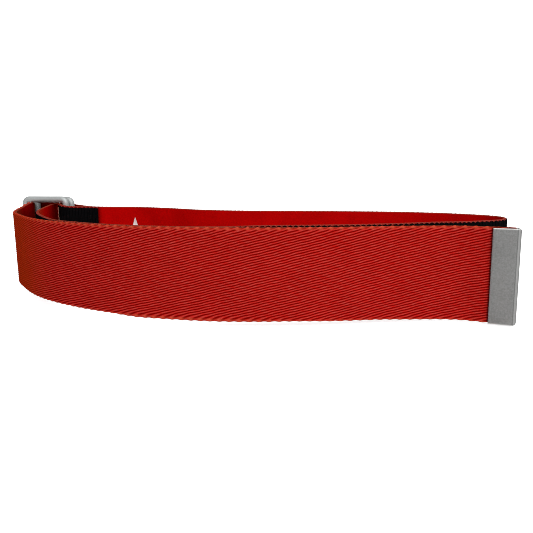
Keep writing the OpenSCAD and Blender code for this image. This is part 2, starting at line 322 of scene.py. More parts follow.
class G:
    """Small helper for shader graphs."""

    def __init__(self, nt):
        self.nt = nt

    def new(self, kind, **kw):
        n = self.nt.nodes.new(kind)
        for k, v in kw.items():
            setattr(n, k, v)
        return n

    def link(self, a, b):
        self.nt.links.new(a, b)

    def put(self, socket, v):
        if isinstance(v, bpy.types.NodeSocket):
            self.link(v, socket)
        else:
            socket.default_value = v

    def math(self, op, a, b=0.0, c=0.0, clamp=False):
        n = self.new("ShaderNodeMath", operation=op, use_clamp=clamp)
        self.put(n.inputs[0], a)
        self.put(n.inputs[1], b)
        self.put(n.inputs[2], c)
        return n.outputs[0]

    def mix(self, f, a, b, kind="RGBA", blend="MIX"):
        n = self.new("ShaderNodeMix", data_type=kind)
        if kind == "RGBA":
            n.blend_type = blend
            self.put(n.inputs[0], f)
            self.put(n.inputs[6], a)
            self.put(n.inputs[7], b)
            return n.outputs[2]
        self.put(n.inputs[0], f)
        self.put(n.inputs[2], a)
        self.put(n.inputs[3], b)
        return n.outputs[0]

    def ramp(self, f, stops, interp="LINEAR"):
        n = self.new("ShaderNodeValToRGB")
        cr = n.color_ramp
        cr.interpolation = interp
        while len(cr.elements) < len(stops):
            cr.elements.new(0.5)
        for e, (p, c) in zip(cr.elements, stops):
            e.position = p
            e.color = c if len(c) == 4 else (*c, 1)
        self.put(n.inputs[0], f)
        return n.outputs[0]

    def mapr(self, v, a, b, c=0.0, d=1.0, smooth=False):
        n = self.new("ShaderNodeMapRange")
        if smooth:
            n.interpolation_type = "SMOOTHSTEP"
        self.put(n.inputs[0], v)
        for k, x in zip((1, 2, 3, 4), (a, b, c, d)):
            self.put(n.inputs[k], x)
        return n.outputs[0]

    def noise(self, vec, scale, detail=2.0, rough=0.5, dims="3D"):
        n = self.new("ShaderNodeTexNoise", noise_dimensions=dims)
        if vec is not None:
            self.link(vec, n.inputs["Vector"])
        n.inputs["Scale"].default_value = scale
        n.inputs["Detail"].default_value = detail
        n.inputs["Roughness"].default_value = rough
        return n.outputs[0]

    def attribute(self, name):
        return self.new("ShaderNodeAttribute", attribute_name=name)

    def xyz(self, v):
        n = self.new("ShaderNodeSeparateXYZ")
        self.put(n.inputs[0], v)
        return n.outputs

    def combine(self, x, y, z):
        n = self.new("ShaderNodeCombineXYZ")
        for k, v in enumerate((x, y, z)):
            self.put(n.inputs[k], v)
        return n.outputs[0]

    def bump(self, h, strength, distance, normal=None):
        n = self.new("ShaderNodeBump")
        n.inputs["Strength"].default_value = strength
        n.inputs["Distance"].default_value = distance
        self.put(n.inputs["Height"], h)
        if normal is not None:
            self.link(normal, n.inputs["Normal"])
        return n.outputs[0]


def srgb(r, g, b):
    def f(c):
        c = c / 255.0
        return c / 12.92 if c <= 0.04045 else ((c + 0.055) / 1.055) ** 2.4
    return (f(r), f(g), f(b), 1.0)


def weave_height(g, s, z, ps, pz):
    """Plain weave: crossing warp and weft yarns of pitches ps and pz, in mm."""
    a = g.math("SINE", g.math("MULTIPLY", s, math.pi / ps))
    b = g.math("SINE", g.math("MULTIPLY", z, math.pi / pz))
    over = g.math("MULTIPLY", a, b)
    fine = g.math("ABSOLUTE", over)
    return g.math("POWER", fine, 0.6), over


# Rib geometry of the twill, in mm
RIB_PITCH, RIB_SLOPE, RIB_REPEAT, RIB_H = 1.045, 0.256, 4.1, 0.28
SELVEDGE_PITCH = RIB_PITCH / RIB_SLOPE  # one small arch where each rib runs into the edge


def rib_phase(s, z):
    """Which rib a point lies on: whole numbers are crests, halves are the gaps between ribs."""
    edge = np.clip((z - 35.5) / 2.5, 0, 1) ** 2 * 0.35 - np.clip((2.5 - z) / 2.5, 0, 1) ** 2 * 0.35
    return ((z - edge - RIB_SLOPE * s) / RIB_PITCH + 0.06 * np.sin(s * 0.31 + z * 0.17) + 0.04 * np.sin(s * 1.1 - z * 0.4)
            + 0.03 * np.sin(z * 2.3 + s * 0.07))


def rib_relief(s, z):
    """Height of the twill's ribs above its mean face."""
    phase = rib_phase(s, z)
    rib = 0.5 + 0.5 * np.cos(2 * np.pi * phase)
    rib = 1 - (1 - rib) ** 1.25
    # each rib swells and dips along its length as its yarns cross
    along = s / RIB_REPEAT + 0.37 * np.floor(phase + 0.5)
    rib = rib * (0.86 + 0.14 * np.cos(2 * np.pi * along))
    # selvedge: the ribs flatten into a firm edge
    sel = np.clip((z - 37.0) / 0.7, 0, 1) + np.clip((1.0 - z) / 0.7, 0, 1)
    return (rib * (1 - 0.45 * sel) - 0.5) * RIB_H


def twill_material():
    m, nt, b = node_material("twill_red")
    g = G(nt)
    strap = g.attribute("strap").outputs["Vector"]
    s, z, face = g.xyz(strap)
    phase = g.attribute("rib").outputs["Fac"]
    # crest 1, gap 0
    wave = g.math("MULTIPLY_ADD", g.math("COSINE", g.math("MULTIPLY", phase, 2 * math.pi)), 0.5, 0.5)
    crown = g.math("SUBTRACT", 1.0, g.math("POWER", g.math("SUBTRACT", 1.0, wave), 1.5))
    n_rib = g.math("FLOOR", g.math("ADD", phase, 0.5))
    along = g.math("ADD", g.math("DIVIDE", s, RIB_REPEAT), g.math("MULTIPLY", n_rib, 0.37))
    swell = g.math("MULTIPLY_ADD", g.math("COSINE", g.math("MULTIPLY", along, 2 * math.pi)), 0.5, 0.5)
    # painted shade: the gaps between ribs are darkened where two yarns part, and close up where they meet
    gap = g.math("POWER", g.math("SUBTRACT", 1.0, wave), g.mapr(swell, 0.0, 1.0, 2.2, 1.0))
    rnd = g.noise(g.combine(g.math("MULTIPLY", s, 0.40), g.math("MULTIPLY", n_rib, 0.83), 0.3), 1.0, 1, 0.5)
    fleck = g.noise(g.combine(g.math("MULTIPLY", s, 1.1), g.math("MULTIPLY", phase, 2.6), 0.9), 1.0, 2, 0.6)
    # two or three yarns lie side by side in a rib, twisted
    yarn = g.math("ABSOLUTE", g.math("SINE", g.math("MULTIPLY", phase, math.pi * 3)))
    twist = g.math("SINE", g.math("ADD", g.math("MULTIPLY", s, 2 * math.pi / 0.62), g.math("MULTIPLY", phase, 7.3)))
    twist = g.math("MULTIPLY_ADD", twist, 0.5, 0.5)
    # painted highlight: the colour runs from dark red in the gaps to pinkish on the rib crests, with random tone mixed
    # in
    level = g.math("ADD", g.math("MULTIPLY", crown, 0.70), g.math("MULTIPLY", swell, 0.14))
    level = g.math("ADD", level, g.math("MULTIPLY", g.math("SUBTRACT", fleck, 0.5), 0.40))
    level = g.math("ADD", level, g.math("MULTIPLY", g.math("SUBTRACT", rnd, 0.5), 0.35), clamp=True)
    col = g.ramp(level, [(0.0, (0.40, 0.0012, 0.0008, 1)), (0.35, (0.465, 0.004, 0.003, 1)), (0.62, (0.52, 0.019, 0.014, 1)),
                         (0.85, (0.56, 0.046, 0.036, 1)), (1.0, (0.61, 0.075, 0.062, 1))])
    shade = g.math("SUBTRACT", 1.0, g.math("MULTIPLY", gap, 0.55))
    shade = g.math("MULTIPLY", shade, g.mapr(g.math("MULTIPLY", twist, yarn), 0.0, 1.0, 0.93, 1.05))
    slow = g.noise(g.combine(g.math("MULTIPLY", s, 0.1), g.math("MULTIPLY", z, 0.1), 0.0), 1.1, 2, 0.5)
    shade = g.math("MULTIPLY", shade, g.mapr(slow, 0.3, 0.7, 0.95, 1.04))
    shade = g.math("MULTIPLY", g.mix(face, 1.0, shade, "FLOAT"), 1.0)
    col = g.mix(1.0, col, g.combine(shade, shade, shade), blend="MULTIPLY")
    # selvedge: firmer, a little more orange
    sel = g.math("ADD", g.mapr(z, 36.9, 37.5, 0, 1, True), g.mapr(z, 0.9, 0.3, 0, 1, True), clamp=True)
    lump = g.math("POWER", g.math("MULTIPLY_ADD", g.math("COSINE", g.math("MULTIPLY", s, 2 * math.pi / SELVEDGE_PITCH)), 0.5, 0.5), 1.4)
    lump = g.math("MULTIPLY", lump, g.mapr(fleck, 0.3, 0.7, 0.75, 1.1))
    col = g.mix(g.math("MULTIPLY", sel, g.mapr(lump, 0.0, 1.0, 0.35, 0.8)), col, g.mix(lump, (0.41, 0.028, 0.013, 1), (0.62, 0.088, 0.042, 1)))
    # shadow line where the metal end grips the webbing
    grip = g.mapr(s, float(S_END) - 9.2, float(S_END) - 8.4, 0.0, 0.75, True)
    col = g.mix(grip, col, (0.03, 0.002, 0.002, 1))
    # grazing light turns the yarn orange-brown
    lw = g.new("ShaderNodeLayerWeight")
    lw.inputs["Blend"].default_value = 0.5
    graze = g.mapr(lw.outputs["Facing"], 0.50, 0.92, 0.0, 1.0, True)
    col = g.mix(g.math("MULTIPLY", graze, 0.95), col, (0.34, 0.024, 0.002, 1))
    g.link(col, b.inputs["Base Color"])
    b.inputs["Roughness"].default_value = 0.6
    b.inputs["Specular IOR Level"].default_value = 0.0
    b.inputs["Sheen Weight"].default_value = 0.0
    b.inputs["Sheen Roughness"].default_value = 0.4
    b.inputs["Sheen Tint"].default_value = (0.9, 0.35, 0.25, 1)
    hh = g.math("ADD", g.math("MULTIPLY", yarn, 0.6), g.math("MULTIPLY", twist, 0.5))
    g.link(g.bump(hh, 0.35, 0.00007), b.inputs["Normal"])
    return m


def smooth_red_material():
    m, nt, b = node_material("webbing_red")
    g = G(nt)
    s, z, face = g.xyz(g.attribute("strap").outputs["Vector"])
    fine, over = weave_height(g, s, z, 0.55, 0.42)
    pos = g.combine(g.math("MULTIPLY", s, 0.1), g.math("MULTIPLY", z, 0.1), 0.0)
    slow = g.noise(pos, 0.9, 3, 0.55)
    fibre = g.noise(g.combine(g.math("MULTIPLY", s, 0.8), g.math("MULTIPLY", z, 6.0), 0.0), 1.0, 3, 0.6)
    col = g.mix(fibre, (0.40, 0.0008, 0.0010, 1), (0.60, 0.0020, 0.0018, 1))
    tone = g.math("MULTIPLY", g.mapr(slow, 0.3, 0.7, 0.92, 1.06), g.mapr(fine, 0.0, 1.0, 0.90, 1.04))
    col = g.mix(1.0, col, g.combine(tone, tone, tone), blend="MULTIPLY")
    # light is lost in the narrow gaps between layers
    ao = g.new("ShaderNodeAmbientOcclusion", samples=8)
    ao.inputs["Distance"].default_value = 0.022
    deep = g.mapr(ao.outputs["AO"], 0.30, 0.95, 0.22, 1.0)
    col = g.mix(1.0, col, g.combine(deep, deep, deep), blend="MULTIPLY")
    # cut fibres catch light along the upper and lower edges
    edge = g.math("ADD", g.mapr(z, 37.45, 37.85, 0, 1, True), g.mapr(z, 0.55, 0.15, 0, 1, True), clamp=True)
    rim = g.mix(g.noise(g.combine(g.math("MULTIPLY", s, 2.0), z, 0.0), 1.0, 2, 0.5), (0.19, 0.028, 0.015, 1), (0.36, 0.070, 0.045, 1))
    col = g.mix(g.math("MULTIPLY", edge, 0.85), col, rim)
    # painted sheen: at grazing view angles the red turns orange-brown
    lw = g.new("ShaderNodeLayerWeight")
    lw.inputs["Blend"].default_value = 0.5
    graze = g.mapr(lw.outputs["Facing"], 0.60, 0.97, 0.0, 1.0, True)
    col = g.mix(g.math("MULTIPLY", graze, 0.55), col, (0.20, 0.040, 0.012, 1))
    g.link(col, b.inputs["Base Color"])
    b.inputs["Roughness"].default_value = 0.6
    b.inputs["Specular IOR Level"].default_value = 0.0
    b.inputs["Sheen Weight"].default_value = 0.0
    b.inputs["Sheen Tint"].default_value = (0.9, 0.3, 0.2, 1)
    g.link(g.bump(g.math("ADD", fine, g.math("MULTIPLY", fibre, 0.6)), 0.45, 0.00006), b.inputs["Normal"])
    return m


def black_material():
    m, nt, b = node_material("facing_black")
    g = G(nt)
    s, z, face = g.xyz(g.attribute("strap").outputs["Vector"])
    fine, over = weave_height(g, s, z, 0.8, 0.5)
    fibre = g.noise(g.combine(g.math("MULTIPLY", s, 0.9), g.math("MULTIPLY", z, 5.0), 0.0), 1.0, 3, 0.6)
    slow = g.noise(g.combine(g.math("MULTIPLY", s, 0.1), g.math("MULTIPLY", z, 0.1), 0.0), 1.5, 2, 0.5)
    # plain weave in courses of 1.6 mm, with a faint line between them
    course = g.math("POWER", g.math("ABSOLUTE", g.math("SINE", g.math("MULTIPLY", s, math.pi / 1.6))), 0.35)
    tone = g.math("MULTIPLY", g.mapr(fine, 0.0, 1.0, 0.5, 1.25), g.mapr(course, 0.2, 1.0, 0.45, 1.1))
    col = g.mix(fibre, (0.0014, 0.0014, 0.0017, 1), (0.0062, 0.0061, 0.0068, 1))
    col = g.mix(1.0, col, g.combine(tone, tone, tone), blend="MULTIPLY")
    lint = g.math("MULTIPLY", g.mapr(slow, 0.56, 0.75, 0, 1, True), 0.35)
    col = g.mix(lint, col, (0.014, 0.013, 0.013, 1))
    g.link(col, b.inputs["Base Color"])
    b.inputs["Roughness"].default_value = 0.8
    b.inputs["Specular IOR Level"].default_value = 0.0
    b.inputs["Sheen Weight"].default_value = 0.0
    g.link(g.bump(g.math("ADD", fine, g.math("MULTIPLY", fibre, 0.5)), 0.5, 0.00008), b.inputs["Normal"])
    return m


def thread_material(name, light, dark):
    m, nt, b = node_material(name)
    g = G(nt)
    tc = g.new("ShaderNodeTexCoord")
    n = g.noise(tc.outputs["Object"], 900.0, 2, 0.6)
    n2 = g.noise(tc.outputs["Object"], 4200.0, 2, 0.6)
    col = g.mix(n, dark, light)
    # painted shade: the thread darkens towards its silhouette
    lw = g.new("ShaderNodeLayerWeight")
    lw.inputs["Blend"].default_value = 0.4
    col = g.mix(g.math("MULTIPLY", lw.outputs["Facing"], 0.4), col, dark)
    g.link(col, b.inputs["Base Color"])
    b.inputs["Roughness"].default_value = 0.6
    b.inputs["Specular IOR Level"].default_value = 0.05
    g.link(g.bump(n2, 0.5, 0.00005), b.inputs["Normal"])
    return m


def metal_material(name, base, rough, grain=(1, 1, 14), speck=0.5, fold=None, metal=1.0):
    m, nt, b = node_material(name)
    g = G(nt)
    tc = g.new("ShaderNodeTexCoord")
    mp = g.new("ShaderNodeMapping")
    mp.inputs["Scale"].default_value = grain
    g.link(tc.outputs["Object"], mp.inputs["Vector"])
    lines = g.noise(mp.outputs[0], 260.0, 3, 0.6)
    sp = g.noise(tc.outputs["Object"], 1500.0, 3, 0.65)
    cloud = g.noise(tc.outputs["Object"], 90.0, 3, 0.55)
    v = g.math("ADD", g.math("MULTIPLY", g.math("SUBTRACT", sp, 0.5), speck), g.math("MULTIPLY", g.math("SUBTRACT", cloud, 0.5), 0.3))
    tone = g.math("ADD", 1.0, v)
    col = g.mix(1.0, base, g.combine(tone, tone, tone), blend="MULTIPLY")
    if fold:
        # painted highlight along its upper and lower edges, a faint dark line beside the fold, and a lighter band on
        # the fold itself
        x, y, z = g.xyz(tc.outputs["Object"])
        edge_highlight = g.math("ADD", g.mapr(z, 0.03705, 0.03765, 0.0, 1.0, True), g.mapr(z, 0.0005, 0.0000, 0.0, 0.6, True), clamp=True)
        col = g.mix(edge_highlight, col, (0.74, 0.74, 0.72, 1))
        a = g.attribute(fold).outputs["Fac"]
        line = g.math("MULTIPLY", g.mapr(a, 0.98, 1.25, 0.0, 1.0, True), g.mapr(a, 1.25, 1.60, 1.0, 0.0, True))
        col = g.mix(g.math("MULTIPLY", line, 0.45), col, (0.10, 0.10, 0.10, 1))
        band = g.math("MULTIPLY", g.mapr(a, 0.2, 0.5, 0.0, 1.0, True), g.mapr(a, 0.85, 1.15, 1.0, 0.0, True))
        col = g.mix(g.math("MULTIPLY", band, 0.35), col, (0.60, 0.60, 0.59, 1))
    g.link(col, b.inputs["Base Color"])
    b.inputs["Metallic"].default_value = metal
    r = g.mapr(g.math("ADD", g.math("MULTIPLY", lines, 0.5), g.math("MULTIPLY", sp, 0.5)), 0.3, 0.7, rough - 0.07, rough + 0.08)
    g.link(r, b.inputs["Roughness"])
    hh = g.math("ADD", g.math("MULTIPLY", sp, 1.0), g.math("MULTIPLY", lines, 0.5))
    g.link(g.bump(hh, 0.25, 0.00003), b.inputs["Normal"])
    return m


M_TWILL = twill_material()
M_RED = smooth_red_material()
M_BLACK = black_material()
M_EDGE = thread_material("edge_thread", (0.42, 0.066, 0.056, 1), (0.24, 0.018, 0.015, 1))
M_FOLD = thread_material("fold_thread", (0.44, 0.22, 0.17, 1), (0.22, 0.09, 0.06, 1))
M_BTHREAD = thread_material("black_thread", srgb(26, 26, 27), srgb(9, 9, 10))
M_RING = metal_material("ring_metal", (0.50, 0.525, 0.52, 1), 0.60, grain=(1, 1, 1), speck=0.25, metal=0.65)
M_END = metal_material("end_metal", (0.275, 0.277, 0.272, 1), 0.52, grain=(1, 1, 1), speck=0.9, fold="tip_along")


def mark_material():
    m, nt, b = node_material("mark_white")
    g = G(nt)
    tc = g.new("ShaderNodeTexCoord")
    n = g.noise(tc.outputs["Object"], 700.0, 3, 0.6)
    col = g.mix(g.mapr(n, 0.35, 0.6), srgb(226, 214, 212), srgb(246, 245, 243))
    g.link(col, b.inputs["Base Color"])
    b.inputs["Roughness"].default_value = 0.5
    g.link(g.bump(n, 0.3, 0.00003), b.inputs["Normal"])
    return m


M_MARK = mark_material()

# ------------------------------------------------------------------ which body each length of webbing follows
FLEX = [(S_IN, 9.0, "loop", "outer_ring"), (S_1, 9.0, "outer_ring", "tail_bend"), (S_2, 11.0, "tail_bend", "tail_side"),
        (S_3, 11.0, "tail_side", "tail_front"), (S_4, 10.0, "tail_front", "tail_end")]


def spans(s0, s1):
    """Cuts s0 to s1 into lengths that ride on one body, or lie in a zone between two."""
    out, s = [], s0
    for centre, half, a, b in FLEX:
        lo, hi = centre - half, centre + half
        if lo > s and s < s1:
            out.append((s, min(lo, s1), a, None, None))
        if hi > s and lo < s1:
            out.append((max(lo, s), min(hi, s1), a, b, (lo, hi)))
        s = max(s, min(hi, s1)) if hi > s else s
    if s < s1:
        out.append((s, s1, FLEX[-1][3], None, None))
    return [o for o in out if o[1] - o[0] > 1e-6]


def attach(ob, a, b):
    if b is None:
        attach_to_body(ob, a)
    else:
        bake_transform(ob)


def edge_wave(amount, period, seed):
    """Slight unevenness of a woven edge."""
    def f(s, side):
        s = np.asarray(s, float)
        w = np.sin(2 * np.pi * s / period + seed + side) * 0.5 + np.sin(2 * np.pi * s / (period * 2.7) + 1.3 * seed) * 0.3
        return side * amount * w
    return f


def stand_for(ob, *nodes):
    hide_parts(*nodes)
    return ob


# ------------------------------------------------------------------ base webbing
NODE_OF = {"loop": ("belt_webbing", None), "outer_ring": ("wrap_webbing", "wrap_twill"), "tail_bend": ("bend_webbing", "bend_twill"),
           "tail_side": ("side_webbing", "side_twill"), "tail_front": ("front_webbing", "front_twill"), "tail_end": ("end_webbing", "end_twill")}
count = 0
for s0, s1, a, b, zone in spans(0.0, S_END):
    name = f"webbing_{count:02d}_{a}" + ("_flex" if b else "")
    ob = layer(name, s0, s1, -BASE_T / 2, BASE_T / 2, 0.0, WIDTH, ds=0.8, dz=1.2, dzb=2.4, edge=0.32, n_edge=3,
               lift=edge_wave(0.05, 2.3, 0.4), material=M_RED)
    attach(ob, a, b)
    stand_for(ob, NODE_OF[a][0], *([NODE_OF[b][0]] if b else []))
    count += 1

# ------------------------------------------------------------------ twill facing on the tail
T0 = -BASE_T / 2 - GLUE


def twill_lift(s, side):
    s = np.asarray(s, float)
    lump = 0.5 + 0.5 * np.cos(2 * np.pi * s / SELVEDGE_PITCH)
    # left of the middle of the front the tail's lower edge hangs a little below the rest
    sag = step01(s, S_END - 168, S_END - 150) * (1 - step01(s, S_END - 118, S_END - 84)) if side < 0 else 0.0
    return side * (0.44 * (lump ** 1.2 - 0.48) * (1.0 if side > 0 else 0.6) + 0.03 * np.sin(s * 0.21 + side) + 0.6 * sag)


count = 0
for s0, s1, a, b, zone in spans(S_IN + 30, S_END):
    name = f"twill_{count:02d}_{a}" + ("_flex" if b else "")
    ob = layer(name, s0, s1, T0 - TWILL_T + 0.12, T0, 0.0, WIDTH, ds=0.41, dz=0.15, dzb=4.0, edge=0.34, n_edge=3,
               disp=rib_relief, lift=twill_lift, phase=rib_phase, material=M_TWILL)
    attach(ob, a, b)
    stand_for(ob, NODE_OF[a][1], *([NODE_OF[b][1]] if b else []))
    count += 1

# ------------------------------------------------------------------ black facing on the loop
B0 = BASE_T / 2 + GLUE
EDGE_H = 0.8


def black_lift(s, side):
    s = np.asarray(s, float)
    w = 0.5 + 0.5 * np.cos(2 * np.pi * (s - 0.4) / 2.25)
    # round the ring pocket the facing stops a little short of the webbing's upper edge
    short = 0.25 * (1 - step01(s, s_of("pocket", 0) + 5, s_of("pocket", 8) + 4)) if side > 0 else 0.0
    return side * (0.30 - 0.34 * w) - short


def black_relief(s, z):
    course = np.abs(np.sin(np.pi * s / 1.6)) ** 0.5
    return 0.09 * (course - 0.7) + 0.04 * np.sin(2 * np.pi * s / 1.6) * np.sin(2 * np.pi * z / 1.0)


count = 0
for s0, s1, a, b, zone in spans(0.0, S_IN - 0.6):
    name = f"facing_{count:02d}_{a}" + ("_flex" if b else "")
    ob = layer(name, s0, s1, B0 + FACING_T - 0.05, B0, EDGE_H * 0.8, WIDTH - EDGE_H * 0.8, ds=0.4, dz=0.5, dzb=6.0, edge=0.25, n_edge=2,
               disp=black_relief, lift=black_lift, material=M_BLACK)
    attach(ob, a, b)
    stand_for(ob, "black_facing")
    count += 1


# ------------------------------------------------------------------ edge stitching over the black facing's edges
def stitch_row(name, s0, s1, upper, a, b, pitch=2.25):
    """Overlock-like stitches: each climbs the black face, goes over the edge and comes down the red face."""
    n0, n1 = int(math.ceil((s0 - 0.4) / pitch)), int(math.floor((s1 - 1.3) / pitch))
    V, Q, C = [], [], []
    base = 0
    sides = 7
    top = WIDTH if upper else 0.0
    sg = 1.0 if upper else -1.0
    for k in range(n0, n1 + 1):
        s = k * pitch + 0.4
        jit = 0.10 * math.sin(k * 12.9898) + 0.07 * math.sin(k * 4.1)
        rise = 0.05 * math.sin(k * 7.7)
        # s offset, path offset, height from the edge
        path = [(-0.55, B0 + 0.24, -0.62), (-0.35, B0 + 0.27, -0.48), (0.0, B0 + 0.24, -0.30), (0.35, B0 + 0.16, -0.12 + rise),
                (0.65, B0 + 0.03, 0.02 + rise), (0.95, B0 - 0.15, 0.06), (1.25, B0 - 0.32, 0.04), (1.45, B0 - 0.42, -0.10)]
        pts = []
        for ds_, d, dz_ in path:
            p = on_path(s + ds_ + jit, d)
            pts.append((p[0], p[1], top + sg * (dz_ - 0.16) + lift_at(p[0], p[1])))
        pts = np.array(pts)
        # resample smoothly
        t = np.linspace(0, 1, len(pts))
        tt = np.linspace(0, 1, 15)
        pts = np.stack([np.interp(tt, t, pts[:, c]) for c in range(3)], -1)
        pts[1:-1] = (pts[:-2] + 2 * pts[1:-1] + pts[2:]) / 4
        r = 0.17 * (1 + 0.10 * np.cos(np.linspace(0, 9, 15) + k))
        r[0] *= 0.35
        r[-1] *= 0.35
        v = tube(pts, r, sides).reshape(-1, 3)
        q = grid_faces(15, sides, True, base)
        V.append(v)
        Q.append(q)
        C.append([base + np.arange(sides)[::-1], base + 14 * sides + np.arange(sides)])
        base += len(v)
    if not V:
        return None
    V = np.concatenate(V)
    Q = np.concatenate(Q)
    caps = [c for pair in C for c in pair]
    if signed_volume(V, Q) < 0:
        Q = Q[:, ::-1]
        caps = [c[::-1] for c in caps]
    loops = np.concatenate([Q.ravel()] + caps)
    total = np.concatenate([np.full(len(Q), 4), np.full(len(caps), sides)])
    ob = make_object(name, V, loops, total, None, None, M_EDGE)
    attach(ob, a, b)
    return ob


for upper, node in ((True, "upper_edge_stitching"), (False, "lower_edge_stitching")):
    count = 0
    for s0, s1, a, b, zone in spans(0.4, S_IN - 0.6):
        ob = stitch_row(("upper" if upper else "lower") + f"_edge_stitches_{count:02d}", s0, s1, upper, a, b)
        if ob is not None:
            stand_for(ob, node)
        count += 1


# ------------------------------------------------------------------ stitching of the ring pocket
def small_stitches(name, places, radius, material, body, node=None):
    """places: list of (points n x 3) centre lines."""
    V, Q, caps, base = [], [], [], 0
    sides = 8
    for pts in places:
        pts = np.asarray(pts, float)
        n = len(pts)
        r = radius * np.sin(np.linspace(0.35, math.pi - 0.35, n)) ** 0.4
        v = tube(pts, r, sides).reshape(-1, 3)
        Q.append(grid_faces(n, sides, True, base))
        caps += [base + np.arange(sides)[::-1], base + (n - 1) * sides + np.arange(sides)]
        V.append(v)
        base += len(v)
    V, Q = np.concatenate(V), np.concatenate(Q)
    if signed_volume(V, Q) < 0:
        Q = Q[:, ::-1]
        caps = [c[::-1] for c in caps]
    ob = make_object(name, V, np.concatenate([Q.ravel()] + caps), np.concatenate([np.full(len(Q), 4), np.full(len(caps), sides)]), None, None, material)
    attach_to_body(ob, body)
    if node:
        stand_for(ob, node)
    return ob


rows = []
pitch = 3.0
n_rows = int((WIDTH - 6) // pitch)
z_first = (WIDTH - n_rows * pitch) / 2
for s in (1.2, 4.4, s_of("far", 2) - 1.2, s_of("far", 2) - 4.4):
    for k in range(n_rows):
        z = z_first + k * pitch
        t = np.linspace(0, 1, 9)
        pts = []
        for ti in t:
            q = on_path(s + 0.10 * math.sin(ti * math.pi * 2), B0 + FACING_T - 0.06 + 0.20 * math.sin(ti * math.pi))
            pts.append((q[0], q[1], z + 2.3 * ti + lift_at(q[0], q[1])))
        rows.append(pts)
small_stitches("pocket_stitches", rows, 0.2, M_BTHREAD, "loop", "pocket_stitching")

# a pale row closes the facing where it turns round the rings
s_fold = s_of("pocket", 0) + 3.2
rows = []
for k in range(16):
    z = 1.6 + k * 2.18
    pts = []
    for ti in np.linspace(0, 1, 9):
        q = on_path(s_fold + 0.25 * (ti - 0.5), B0 + FACING_T - 0.04 + 0.22 * math.sin(ti * math.pi))
        pts.append((q[0], q[1], z + 2.1 * ti + lift_at(q[0], q[1])))
    rows.append(pts)
small_stitches("fold_stitches", rows, 0.24, M_FOLD, "loop")

# ------------------------------------------------------------------ printed triangle on the inner face
s_mark = s_of("far", 4) - 0.5
MARK_W, MARK_H = 12.0, 18.0
n_r, V = 26, []
for i in range(n_r + 1):
    z = 32 - MARK_H + MARK_H * i / n_r
    half = MARK_W / 2 * (1 - i / n_r) + 0.05
    for side in (0.02, 0.14):
        for u in np.linspace(-1, 1, 13):
            q = on_path(s_mark + u * half, -BASE_T / 2 - side)
            V.append((q[0], q[1], z + lift_at(q[0], q[1])))
V = np.array(V).reshape(n_r + 1, 2, 13, 3)
idx = np.arange((n_r + 1) * 26).reshape(n_r + 1, 2, 13)
quads = []
for i in range(n_r):
    for j in range(12):
        quads.append((idx[i, 0, j], idx[i + 1, 0, j], idx[i + 1, 0, j + 1], idx[i, 0, j + 1]))
        quads.append((idx[i, 1, j], idx[i, 1, j + 1], idx[i + 1, 1, j + 1], idx[i + 1, 1, j]))
    for j in (0, 12):
        f = (idx[i, 0, j], idx[i, 1, j], idx[i + 1, 1, j], idx[i + 1, 0, j])
        quads.append(f if j == 0 else f[::-1])
for j in range(12):
    quads.append((idx[0, 0, j], idx[0, 0, j + 1], idx[0, 1, j + 1], idx[0, 1, j]))
    quads.append((idx[n_r, 0, j], idx[n_r, 1, j], idx[n_r, 1, j + 1], idx[n_r, 0, j + 1]))
quads = np.array(quads)
V = V.reshape(-1, 3)
if signed_volume(V, quads) < 0:
    quads = quads[:, ::-1]
mark = make_object("printed_triangle", V, quads.ravel(), np.full(len(quads), 4), None, None, M_MARK, smooth=False)
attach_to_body(mark, "loop")
stand_for(mark, "printed_mark")


